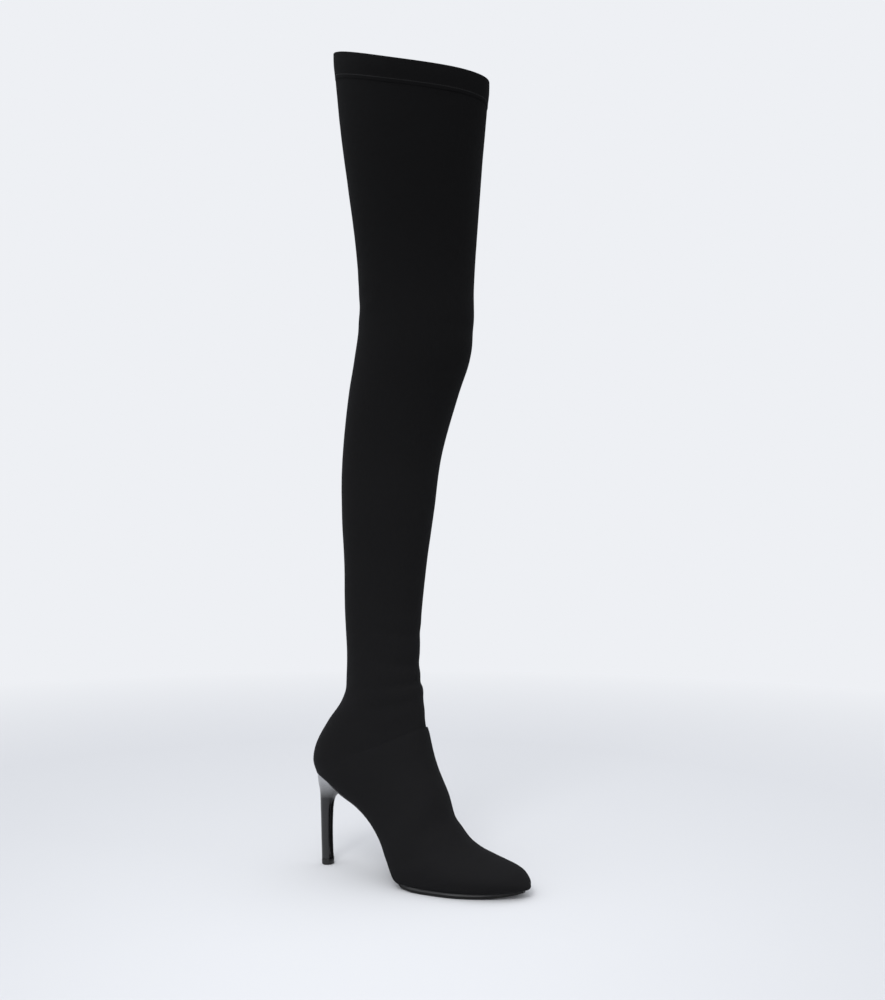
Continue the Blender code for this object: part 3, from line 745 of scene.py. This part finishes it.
@dataclass
class Upper:
    """Leg and foot in one knit wall, open at the collar and underneath."""

    columns: int = 60
    rows: int = 330
    open_share: float = 2 / 3
    top_gap: float = 0.0022
    unevenness: float = 0.00022
    unevenness_scale: float = 22.0
    nose_bulge: float = 0.0012
    underside_reach: float = 0.0012
    seam_depth: float = 0.00045
    seam_width: float = 0.0008
    seam_shares: tuple[float, ...] = (0.0020, 0.0040, 0.0065, 0.0100)
    creases: tuple[Crease, ...] = (
        Crease((5.30, -0.16), (5.46, 0.00), (5.30, 0.16), 0.0009, 0.0070),
        Crease((5.62, -0.12), (5.74, 0.00), (5.60, 0.12), 0.0006, 0.0060),
        Crease((5.05, -0.10), (5.14, 0.00), (5.02, 0.11), 0.0005, 0.0060),
        Crease((6.10, 0.36), (6.30, 0.50), (6.10, 0.64), 0.0004, 0.0080),
        Crease((12.30, 0.30), (12.45, 0.50), (12.25, 0.68), 0.0005, 0.0055),
        Crease((13.05, 0.26), (13.30, 0.50), (13.05, 0.72), 0.0007, 0.0060),
        Crease((14.30, 0.24), (14.55, 0.50), (14.25, 0.76), 0.0006, 0.0060),
        Crease((15.90, 0.30), (16.10, 0.50), (15.80, 0.72), 0.0005, 0.0065),
        Crease((13.60, -0.14), (14.30, 0.00), (13.60, 0.14), 0.0006, 0.0060),
        Crease((26.60, 0.18), (27.60, 0.24), (28.40, 0.31), 0.0006, 0.0060),
        Crease((27.60, 0.44), (28.10, 0.38), (28.60, 0.30), 0.0005, 0.0050),
        Crease((31.40, 0.36), (31.60, 0.50), (31.30, 0.64), 0.0003, 0.0045),
    )

    def points(self) -> np.ndarray:
        """The wall's outer points, rows by columns by three."""
        first = FORM.place_below(self.top_gap)
        places = FORM.spaced_places(first, FORM.last_place, self.rows)
        grid = np.array([FORM.ring(place, self.columns, 0.0, self.seam_shares) for place in places])
        grid += self._normals(grid) * self._relief(grid, places)[:, :, None]
        toe = grid[-1]
        nose = toe.mean(0)
        ahead = np.array([1.0, 0.0, 0.05]) * self.nose_bulge
        for turn in (0.35, 0.7, 1.05, 1.35, math.pi / 2):
            ring = nose + (toe - nose) * math.cos(turn) + ahead * math.sin(turn)
            grid = np.concatenate([grid, ring[None]])
        return grid

    @staticmethod
    def _normals(grid: np.ndarray) -> np.ndarray:
        """Outward unit vectors at a grid's points."""
        down = np.gradient(grid, axis=0)
        around = np.empty_like(grid)
        around[:, 1:-1] = grid[:, 2:] - grid[:, :-2]
        around[:, 0] = around[:, -1] = grid[:, 1] - grid[:, -2]
        normal = np.cross(down, around)
        normal /= np.maximum(np.linalg.norm(normal, axis=2, keepdims=True), 1e-9)
        return normal

    def _relief(self, grid: np.ndarray, places: np.ndarray) -> np.ndarray:
        """How far the wall's points move outwards for creases, unevenness and the back seam."""
        flat = grid.reshape(-1, 3)
        relief = sum(crease.relief(flat) for crease in self.creases)
        rough = [
            noise.fractal(Vector(point) * self.unevenness_scale, 1.0, 2.0, 3, noise_basis="PERLIN_ORIGINAL")
            for point in flat
        ]
        relief = (relief + self.unevenness * np.array(rough)).reshape(grid.shape[:2])
        # the back seam, which fades out over the counter
        across = np.abs(surface_uv(grid)[:, :, 0])
        from_back = across.max(axis=1, keepdims=True) - across
        seam = -self.seam_depth * np.exp(-((from_back / self.seam_width) ** 2))
        on_leg = 1.0 - smooth_between(FORM.foot_place(3.6), FORM.foot_place(4.8), places)
        relief += seam * on_leg[:, None]
        # nothing moves near the flat underside, under the hem or at the toe's end
        foot = smooth_between(FORM.foot_place(4.5), FORM.foot_place(6.5), places)[:, None]
        half = np.union1d(np.linspace(0.0, 1.0, self.columns + 1), self.seam_shares)
        beside = np.concatenate([half, half[::-1][1:]])
        keep = smooth_between(FORM.seat_share * 0.9, FORM.seat_share * 1.9, beside)[None, :]
        under_band = smooth_between(0.0, FORM.place_below(0.040), places)[:, None]
        toe = 1.0 - smooth_between(FORM.foot_place(21.0), FORM.foot_place(23.0), places)[:, None]
        return relief * (1.0 - foot * (1.0 - keep)) * under_band * toe

    def build(self, knit: bpy.types.Material, lining: bpy.types.Material) -> bpy.types.Object:
        """Builds the upper.

        Args:
            knit: the outer finish.
            lining: the inner finish.

        Returns:
            The piece.
        """
        grid = self.points()
        mesh = mapped_grid(grid, surface_uv(grid))
        rim = [edge for edge in mesh.edges if edge.is_boundary]
        cap = bmesh.ops.holes_fill(mesh, edges=rim, sides=0)["faces"]
        bmesh.ops.recalc_face_normals(mesh, faces=mesh.faces)
        bmesh.ops.delete(mesh, geom=cap, context="FACES_ONLY")
        self._open_underside(mesh)
        piece = add_piece("leg_and_foot", mesh, (knit, lining), ("upper",), 60.0)
        wall = piece.modifiers.new("wall", "SOLIDIFY")
        wall.thickness = WALL_THICKNESS
        wall.offset = -1.0
        wall.use_even_offset = True
        wall.material_offset = 1
        return piece

    def _open_underside(self, mesh: bmesh.types.BMesh) -> None:
        """Cuts the opening that the insole and the outsole close."""
        places = np.linspace(FORM.foot_place(6), FORM.foot_place(21), 90)
        frames = [FORM.section_at(place) for place in places]
        backs = np.array([section.back_x for section in frames])
        floors = np.array([section.back_z for section in frames])
        outer = np.array([section.seat for section in frames]) * self.open_share
        inner = np.array([section.inner_seat for section in frames]) * self.open_share
        doomed = []
        for face in mesh.faces:
            spot = face.calc_center_median()
            if not backs[0] < spot.x < backs[-1]:
                continue
            if spot.z > np.interp(spot.x, backs, floors) + self.underside_reach:
                continue
            if -np.interp(spot.x, backs, outer) < spot.y < np.interp(spot.x, backs, inner):
                doomed.append(face)
        bmesh.ops.delete(mesh, geom=doomed, context="FACES")


@dataclass
class TopBand:
    """The hem: knit folded over the wall's edge, stitched down near its lower edge.

    pinch is how much thinner the stitches draw it, and fold is the height of its rounded top.
    """

    columns: int = 90
    height: float = 0.0250
    thickness: float = 0.0010
    fold: float = 0.0012
    under_fold: float = 0.0018
    pinch: float = 0.0010
    stitch_height: float = 0.0026
    stitch_length: float = 0.0013
    stitch_gap: float = 0.0012
    stitch_radius: float = 0.00020

    def _profile(self) -> list[tuple[float, float]]:
        """The hem's section as (height below the collar, outward distance from the form)."""
        out = HEM_GAP + self.thickness
        inside = WALL_THICKNESS + HEM_GAP + self.thickness
        stitch = self.height - self.stitch_height
        low = out - self.pinch
        # the lower edge, drawn in to the wall, then the stitched line and the outer side
        profile = [(self.height - 0.0005, HEM_GAP - 0.0004), (self.height + 0.0002, 0.00005)]
        profile += [(self.height - 0.0001, low * 0.7), (self.height - 0.0005, low), (stitch, low)]
        profile += [(stitch - 0.0020, low + self.pinch * 0.2), (stitch * 0.80, low + self.pinch * 0.5)]
        profile += [(stitch * 0.64, low + self.pinch * 0.85), (stitch * 0.4, out), (0.0032, out)]
        # the fold over the wall's edge
        middle = (out - inside) / 2
        radius = (out + inside) / 2
        for step in range(9):
            turn = math.pi * step / 8
            profile.append((self.fold - self.fold * math.sin(turn), middle + radius * math.cos(turn)))
        # the inner side, and back along both faces of the slit that the wall stands in
        inner = self.thickness - inside
        profile += [(self.height * share, -inside) for share in (0.3, 0.6, 0.988)]
        profile += [(self.height, inner - 0.0001)]
        profile += [(self.height * 0.5, inner), (self.under_fold, inner)]
        profile += [(self.under_fold, HEM_GAP), (self.height * 0.5, HEM_GAP)]
        profile.append(profile[0])
        return profile

    def build(self, knit: bpy.types.Material) -> bpy.types.Object:
        """Builds the hem."""
        rings = [FORM.ring(FORM.place_below(below), self.columns, grow) for below, grow in self._profile()]
        grid = np.array(rings)
        mesh = mapped_grid(grid, surface_uv(grid))
        bmesh.ops.recalc_face_normals(mesh, faces=mesh.faces)
        return add_piece("hem_band", mesh, (knit,), ("top_band",), 50.0)

    def build_stitches(self, thread: bpy.types.Material) -> bpy.types.Object:
        """Builds the row of stitches along the hem."""
        sunk = HEM_GAP + self.thickness - self.pinch - self.stitch_radius * 0.4
        below = self.height - self.stitch_height
        ring = FORM.ring(FORM.place_below(below), 240, sunk)
        run = np.concatenate([[0.0], np.cumsum(np.linalg.norm(np.diff(ring, axis=0), axis=1))])
        count = int(run[-1] / (self.stitch_length + self.stitch_gap))
        mesh = bmesh.new()
        half = self.stitch_length / 2
        for index in range(count):
            at = run[-1] * (index + 0.5) / count
            start = Vector([np.interp(at - half, run, ring[:, axis]) for axis in range(3)])
            end = Vector([np.interp(at + half, run, ring[:, axis]) for axis in range(3)])
            made = bmesh.ops.create_uvsphere(mesh, u_segments=8, v_segments=6, radius=self.stitch_radius)
            turn = (end - start).to_track_quat("Z", "Y").to_matrix()
            stretch = (end - start).length / 2 / self.stitch_radius
            for vertex in made["verts"]:
                body = vertex.co.copy()
                body.z = math.copysign(abs(body.z / self.stitch_radius) ** 0.6, body.z) * self.stitch_radius
                body.z *= stretch
                vertex.co = (start + end) / 2 + turn @ body
        return add_piece("hem_stitches", mesh, (thread,))


@dataclass
class Underside:
    """Outsole and insole, which follow the flat underside of the form.

    waist is the outsole's thickness from waist_lift up, a share of the seat's lift over the tread.
    """

    thickness: float = 0.0052
    waist: float = 0.0024
    waist_lift: float = 0.024
    bevel: float = 0.0014
    tread_from: float = 0.085
    insole_thickness: float = 0.0020
    insole_inset: float = 0.0010
    rows: int = 150

    @staticmethod
    def _frame(place: float) -> tuple[np.ndarray, np.ndarray, Section]:
        """Middle point, direction down and section of the underside at a place."""
        section = FORM.section_at(place)
        near = 0.15
        before = FORM.section_at(max(FORM.foot_place(6), place - near))
        after = FORM.section_at(min(FORM.last_place, place + near))
        run = np.array([after.back_x - before.back_x, 0.0, after.back_z - before.back_z])
        run /= np.linalg.norm(run)
        down = np.array([run[2], 0.0, -run[0]])
        return np.array([section.back_x, section.swing, section.back_z]), down, section

    def slab(
        self,
        first: float,
        last: float,
        profile: Callable[[Section, float], list[tuple[float, float]]],
        margin: Callable[[Section], float],
    ) -> np.ndarray:
        """Closed rings across a thin slab.

        Args:
            first: the place where it starts.
            last: the place where it ends.
            profile: gives (inset, depth) pairs from top to bottom, for a section and its lift.
            margin: how far the slab stands out past the flat underside.

        Returns:
            Rings by points by three.
        """
        rings = []
        for place in FORM.spaced_places(first, last, self.rows):
            point, down, section = self._frame(place)
            steps = profile(section, point[2] - FORM.tread_z)
            across = [(-(section.seat + margin(section) - inset), depth) for inset, depth in steps]
            middle = [across[-1][0] * share for share in (0.75, 0.4)]
            reach = section.inner_seat + margin(section)
            medial = [(reach - inset, depth) for inset, depth in reversed(steps)]
            low = [(y, steps[-1][1]) for y in middle]
            low += [(medial[0][0] * s, steps[-1][1]) for s in (0.4, 0.75)]
            high = [(medial[-1][0] * s, steps[0][1]) for s in (0.75, 0.4)]
            high += [(across[0][0] * s, steps[0][1]) for s in (0.4, 0.75)]
            line = across + low + medial + high
            line.append(line[0])
            rings.append([point + down * depth + np.array([0.0, y, 0.0]) for y, depth in line])
        return np.array(rings)

    def _sole_profile(self, section: Section, lift: float) -> list[tuple[float, float]]:
        """The outsole's edge: an inked bevel on top, and a matt side that leans in below it."""
        share = min(1.0, max(0.0, lift / (self.waist_lift * (FORM.seat_height - FORM.tread_z))))
        deep = self.thickness + (self.waist - self.thickness) * share
        bevel = self.bevel * (1.0 - 0.6 * share)
        return [
            (bevel, CLEARANCE),
            (bevel * 0.82, CLEARANCE + deep * 0.02),
            (bevel * 0.25, CLEARANCE + deep * 0.27),
            (0.0, CLEARANCE + deep * 0.38),
            (0.00015, CLEARANCE + deep * 0.46),
            (0.0006, CLEARANCE + deep * 0.50),
            (0.0010, CLEARANCE + deep * 0.78),
            (0.0015, CLEARANCE + deep * 0.97),
            (0.0021, CLEARANCE + deep),
        ]

    def build_outsole(self, ink: bpy.types.Material, tread: bpy.types.Material) -> bpy.types.Object:
        """Builds the outsole.

        Args:
            ink: the bevel's finish.
            tread: the finish of its lower edge and underside.

        Returns:
            The piece.
        """
        grid = self.slab(
            FORM.foot_place(7), FORM.foot_place(22), self._sole_profile, lambda section: section.edge
        )
        mesh = close_holes(mapped_grid(grid, surface_uv(grid)))
        for face in mesh.faces:
            facing_down = face.normal.z < -0.05 and face.calc_center_median().x > self.tread_from
            face.material_index = 1 if facing_down else 0
        return add_piece("outsole_edge_and_tread", mesh, (ink, tread), ("outsole",), 35.0)

    def build_insole(self, lining: bpy.types.Material) -> bpy.types.Object:
        """Builds the insole board."""
        low = -(WALL_THICKNESS + CLEARANCE)

        def profile(section: Section, lift: float) -> list[tuple[float, float]]:
            """The board's rounded edge."""
            deep = self.insole_thickness
            shoulder = low - deep * 0.8
            return [(0.0008, low - deep), (0.0002, shoulder), (0.0, low - deep * 0.4), (0.0001, low)]

        grid = self.slab(
            FORM.foot_place(6.1), FORM.foot_place(21), profile, lambda section: -self.insole_inset
        )
        mesh = close_holes(mapped_grid(grid, surface_uv(grid)))
        return add_piece("insole_board", mesh, (lining,), ("insole",), 40.0)


class HeelRow(NamedTuple):
    """A level ring of the heel: height as a share of the seat's, then shares of tip to top size."""

    height: float
    back: float
    breast: float
    width: float


HEEL_ROWS = (
    # height back breast width
    (0.100, 0.016, -0.030, -0.011),
    (0.214, 0.110, -0.068, -0.021),
    (0.390, 0.260, -0.088, -0.021),
    (0.566, 0.370, -0.070, 0.005),
    (0.671, 0.484, -0.034, 0.026),
    (0.742, 0.523, 0.035, 0.063),
    (0.789, 0.542, 0.124, 0.132),
    (0.836, 0.597, 0.355, 0.238),
    (0.883, 0.661, 0.593, 0.407),
    (0.953, 0.903, 0.802, 0.661),
    (1.020, 0.968, 0.922, 0.873),
    (1.140, 1.000, 1.000, 1.000),
)


@dataclass
class Heel:
    """The slender heel, flared into a cup under the seat, and its wearing tip.

    Faces below breast_top that face the toe by more than breast_facing get a matt near-black cover, which
    is painted shade on the heel's breast.
    """

    sides: int = 72
    rings: int = 90
    tip_height: float = 0.0055
    tip_depth: float = 0.0120
    tip_width: float = 0.0120
    top_depth: float = 0.0320
    top_width: float = 0.0310
    top_back: float = 0.0092
    breast_power: float = 0.75
    breast_facing: float = 0.955
    breast_top: float = 0.0700
    back_power: float = 0.95

    def _ring(self, height: float, back: float, breast: float, half_width: float) -> np.ndarray:
        """A closed level ring of the heel."""
        turn = np.linspace(0.0, 2 * math.pi, self.sides + 1)
        ahead = np.cos(turn)
        power = np.where(ahead > 0, self.breast_power, self.back_power)
        x = (breast - back) / 2 + np.sign(ahead) * np.abs(ahead) ** power * (breast + back) / 2
        return np.stack([x, np.sin(turn) * half_width, np.full_like(turn, height)], 1)

    def _sizes(self, share: float) -> tuple[float, float, float]:
        """Back, breast and half width at a share of the seat's height."""
        tip = np.array([self.tip_depth / 2, self.tip_depth / 2, self.tip_width / 2])
        top = np.array([self.top_back, self.top_depth - self.top_back, self.top_width / 2])
        base = (self.tip_height + CLEARANCE) / FORM.seat_height
        rows = [HeelRow(base, 0.0, 0.0, 0.0)] + [HeelRow(*row) for row in HEEL_ROWS]
        heights = np.array([row.height for row in rows])
        values = np.array([[row.back, row.breast, row.width] for row in rows])
        slopes = np.gradient(values, heights, axis=0)
        index = int(np.clip(np.searchsorted(heights, share) - 1, 0, len(heights) - 2))
        span = heights[index + 1] - heights[index]
        t = min(1.0, max(0.0, (share - heights[index]) / span))
        leave, arrive = slopes[index] * span, slopes[index + 1] * span
        return tuple(tip + (top - tip) * curve_between(values[index], values[index + 1], leave, arrive, t))

    def build(self, lacquer: bpy.types.Material, breast_shade: bpy.types.Material) -> bpy.types.Object:
        """Builds the heel, its top hollowed to the upper and to the outsole's end.

        Args:
            lacquer: the finish of its back and sides.
            breast_shade: the matt near-black cover of its breast, the side that faces the toe: painted
                shade.

        Returns:
            The piece.
        """
        base = self.tip_height + CLEARANCE
        low = self._ring(base, self.tip_depth / 2, self.tip_depth / 2, self.tip_width / 2)
        middle = low.mean(0)
        rings = [middle + (low - middle) * 0.96, low + np.array([0.0, 0.0, 0.0002])]
        for height in np.linspace(base + 0.001, HEEL_ROWS[-1][0] * FORM.seat_height, self.rings):
            rings.append(self._ring(height, *self._sizes(height / FORM.seat_height)))
        mesh = close_holes(mapped_grid(np.array(rings)))
        block = self._work_object("heel_block", mesh)
        cutters = [self._form_cutter(), self._sole_cutter()]
        for cutter in cutters:
            hollow = block.modifiers.new("hollow", "BOOLEAN")
            hollow.operation = "DIFFERENCE"
            hollow.solver = "EXACT"
            hollow.object = cutter
        shaped = block.evaluated_get(bpy.context.evaluated_depsgraph_get())
        mesh = bmesh.new()
        mesh.from_mesh(shaped.data)
        for each in (block, *cutters):
            bpy.data.objects.remove(each)
        bmesh.ops.remove_doubles(mesh, verts=mesh.verts, dist=SLIVER)
        bmesh.ops.triangulate(mesh, faces=mesh.faces, quad_method="BEAUTY", ngon_method="BEAUTY")
        mesh.normal_update()
        # painted shade: the breast's faces, low on the heel and facing the toe, get the matt near-black
        # cover
        for face in mesh.faces:
            low = face.calc_center_median().z < self.breast_top
            face.material_index = 1 if low and face.normal.x > self.breast_facing else 0
        return add_piece("stiletto_heel", mesh, (lacquer, breast_shade), ("heel",), 50.0)

    @staticmethod
    def _work_object(name: str, mesh: bmesh.types.BMesh) -> bpy.types.Object:
        """An object for the cuts, which is removed afterwards."""
        data = bpy.data.meshes.new(name)
        mesh.to_mesh(data)
        mesh.free()
        made = bpy.data.objects.new(name, data)
        bpy.context.scene.collection.objects.link(made)
        return made

    def _form_cutter(self) -> bpy.types.Object:
        """The back of the foot's closed form, grown by the clearance."""
        places = np.linspace(FORM.foot_place(1.0), FORM.foot_place(11.0), 90)
        grid = np.array([FORM.ring(place, 48, CLEARANCE) for place in places])
        mesh = close_holes(mapped_grid(grid))
        return self._work_object("seat_cutter", mesh)

    def _sole_cutter(self) -> bpy.types.Object:
        """The outsole's end under the seat, grown by the clearance."""
        side = Underside(rows=24)

        def profile(section: Section, lift: float) -> list[tuple[float, float]]:
            """The grown slab's edge."""
            return [(0.0, -CLEARANCE), (0.0, CLEARANCE + side.waist * 1.05 + CLEARANCE)]

        grid = side.slab(
            FORM.foot_place(6.93), FORM.foot_place(9.0), profile, lambda section: section.edge + CLEARANCE
        )
        mesh = close_holes(mapped_grid(grid))
        return self._work_object("sole_end_cutter", mesh)

    def build_tip(self, rubber: bpy.types.Material) -> bpy.types.Object:
        """Builds the wearing tip."""
        sizes = np.array([self.tip_depth / 2, self.tip_depth / 2, self.tip_width / 2])
        rings = []
        for height, shrink in (
            (0.0, 0.0007), (0.0002, 0.0003), (0.0006, 0.0), (0.0030, 0.0), (0.0051, 0.0), (0.0055, 0.0002)
        ):
            rings.append(self._ring(height, *(sizes - shrink)))
        mesh = close_holes(mapped_grid(np.array(rings)))
        return add_piece("wearing_tip", mesh, (rubber,), ("heel_tip",), 35.0)


@dataclass(frozen=True)
class SoftBox:
    """A soft box lamp.

    spot is (to the camera's right, away from the camera, up) from middle_x on the boot, aim is the
    point that it faces, and size is its width and height. power is in watts, spread in degrees.
    """

    name: str
    spot: tuple[float, float, float]
    aim: tuple[float, float, float]
    size: tuple[float, float]
    power: float
    tint: tuple[float, float, float] = (1.0, 1.0, 1.0)
    spread: float = 180.0
    middle_x: float = 0.08


@dataclass
class Studio:
    """Pale floor, soft light and the camera of the photograph."""

    turn: float = math.radians(30.0)
    distance: float = 1.050
    side: float = 0.1145
    height: float = 0.3112
    lens: float = 37.8
    shift: float = 0.052
    backdrop: tuple = (0.855, 0.871, 0.905, 1.0)
    even_light: float = 0.15
    left_light: float = 0.13
    top_light: float = 1.70
    top_tilt: float = 0.25
    floor_tone: tuple = (0.61, 0.617, 0.632, 1.0)
    floor_glow: float = 0.04
    floor_radius: float = 1.8
    floor_fade: float = 0.7
    floor_drop: float = 0.0001
    boxes: tuple[SoftBox, ...] = (
        SoftBox("left_box", (-1.3, -0.2, 0.25), (0.05, 0.0, 0.15), (0.8, 0.5), 0.5, (0.92, 0.96, 1.0)),
        SoftBox("right_box", (1.4, -0.6, 0.6), (0.10, 0.0, 0.3), (0.5, 1.4), 1.2),
        SoftBox("front_box", (-0.2, -0.8, 0.9), (0.12, 0.0, 0.04), (0.4, 0.4), 0.6, spread=60.0),
    )

    @property
    def forward(self) -> Vector:
        """The camera's level viewing direction."""
        return Vector((-math.sin(self.turn), math.cos(self.turn), 0.0))

    @property
    def right(self) -> Vector:
        """The direction to the camera's right."""
        return Vector((math.cos(self.turn), math.sin(self.turn), 0.0))

    def add_camera(self) -> None:
        """Places the camera."""
        data = bpy.data.cameras.new("photo_camera")
        data.lens = self.lens
        data.sensor_width = 36.0
        data.shift_y = self.shift
        camera = bpy.data.objects.new("photo_camera", data)
        spot = self.right * self.side - self.forward * self.distance
        camera.location = (spot.x, spot.y, self.height)
        camera.rotation_euler = self.forward.to_track_quat("-Z", "Y").to_euler()
        bpy.context.scene.collection.objects.link(camera)
        bpy.context.scene.camera = camera

    def add_floor(self) -> None:
        """Lays the floor, whose far edge meets the backdrop's tone."""
        mesh = bmesh.new()
        bmesh.ops.create_circle(mesh, cap_ends=True, segments=96, radius=self.floor_radius)
        bmesh.ops.translate(mesh, verts=mesh.verts, vec=(0.0, 0.0, -self.floor_drop))
        data = bpy.data.meshes.new("studio_floor")
        mesh.to_mesh(data)
        mesh.free()
        floor = bpy.data.objects.new("studio_floor", data)
        material, shader, graph = new_material("studio_floor_paint")
        place = graph.add("ShaderNodeTexCoord").outputs["Object"]
        away = graph.add("ShaderNodeVectorMath", {0: place}, operation="LENGTH").outputs["Value"]
        rim = graph.add(
            "ShaderNodeMapRange",
            {"Value": away, "From Min": self.floor_fade, "From Max": self.floor_radius * 0.95},
        ).outputs[0]
        graph.link(graph.blend(rim, self.floor_tone, (0.0, 0.0, 0.0, 1.0)), shader.inputs["Base Color"])
        glow = graph.math("ADD", self.floor_glow, graph.math("MULTIPLY", rim, 1.0 - self.floor_glow))
        graph.link(glow, shader.inputs["Emission Strength"])
        shader.inputs["Emission Color"].default_value = self.backdrop
        shader.inputs["Roughness"].default_value = 1.0
        shader.inputs["Specular IOR Level"].default_value = 0.0
        data.materials.append(material)
        bpy.context.scene.collection.objects.link(floor)

    def add_world(self) -> None:
        """Sets the surroundings: an even backdrop, and light from all round, the left and above."""
        world = bpy.data.worlds.new("studio")
        bpy.context.scene.world = world
        world.use_nodes = True
        graph = Graph(world.node_tree)
        background = world.node_tree.nodes["Background"]
        way = graph.add("ShaderNodeTexCoord").outputs["Generated"]
        light = self.even_light
        lobes = (
            (-self.right, self.left_light),
            ((Vector((0.0, 0.0, 1.0)) - self.forward * self.top_tilt).normalized(), self.top_light),
            ((self.forward + self.right).normalized(), -self.even_light),
        )
        for aim, share in lobes:
            toward = graph.add(
                "ShaderNodeVectorMath", {0: way, 1: tuple(aim)}, operation="DOT_PRODUCT"
            ).outputs["Value"]
            part = graph.add(
                "ShaderNodeMapRange", {"Value": toward, "From Min": 0.0, "From Max": 1.0, "To Max": share},
                interpolation_type="SMOOTHSTEP",
            ).outputs[0]
            light = graph.math("ADD", part, light)
        seen = graph.add("ShaderNodeLightPath").outputs["Is Camera Ray"]
        background.inputs["Color"].default_value = self.backdrop
        graph.link(graph.math("MAXIMUM", light, seen), background.inputs["Strength"])

    def add_box(self, box: SoftBox) -> None:
        """Hangs a soft box."""
        data = bpy.data.lights.new(box.name, "AREA")
        data.shape = "RECTANGLE"
        data.size, data.size_y = box.size
        data.energy = box.power
        data.color = box.tint
        data.spread = math.radians(box.spread)
        lamp = bpy.data.objects.new(box.name, data)
        place = self.right * box.spot[0] + self.forward * box.spot[1]
        place += Vector((box.middle_x, 0.0, box.spot[2]))
        lamp.location = place
        lamp.rotation_euler = (Vector(box.aim) - place).to_track_quat("-Z", "Y").to_euler()
        bpy.context.scene.collection.objects.link(lamp)

    def build(self) -> None:
        """Builds the studio."""
        self.add_camera()
        self.add_floor()
        self.add_world()
        for box in self.boxes:
            self.add_box(box)
        scene = bpy.context.scene
        scene.view_settings.view_transform = "Standard"
        scene.view_settings.look = "None"


def main() -> None:
    """Builds the boot and the studio."""
    logging.basicConfig(level=logging.INFO, format="%(message)s")
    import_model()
    Studio().build()
    knit = StretchKnit().build()
    Upper().build(knit, LINING.build())
    band = TopBand()
    band.build(knit)
    band.build_stitches(THREAD.build())
    side = Underside()
    side.build_outsole(EDGE_INK.build(), TREAD.build())
    side.build_insole(INSOLE_SUEDE.build())
    heel = Heel()
    heel.build(HeelLacquer().build(), BREAST_PAINTED_SHADE.build())
    heel.build_tip(TIP_RUBBER.build())


if __name__ == "__main__":
    main()
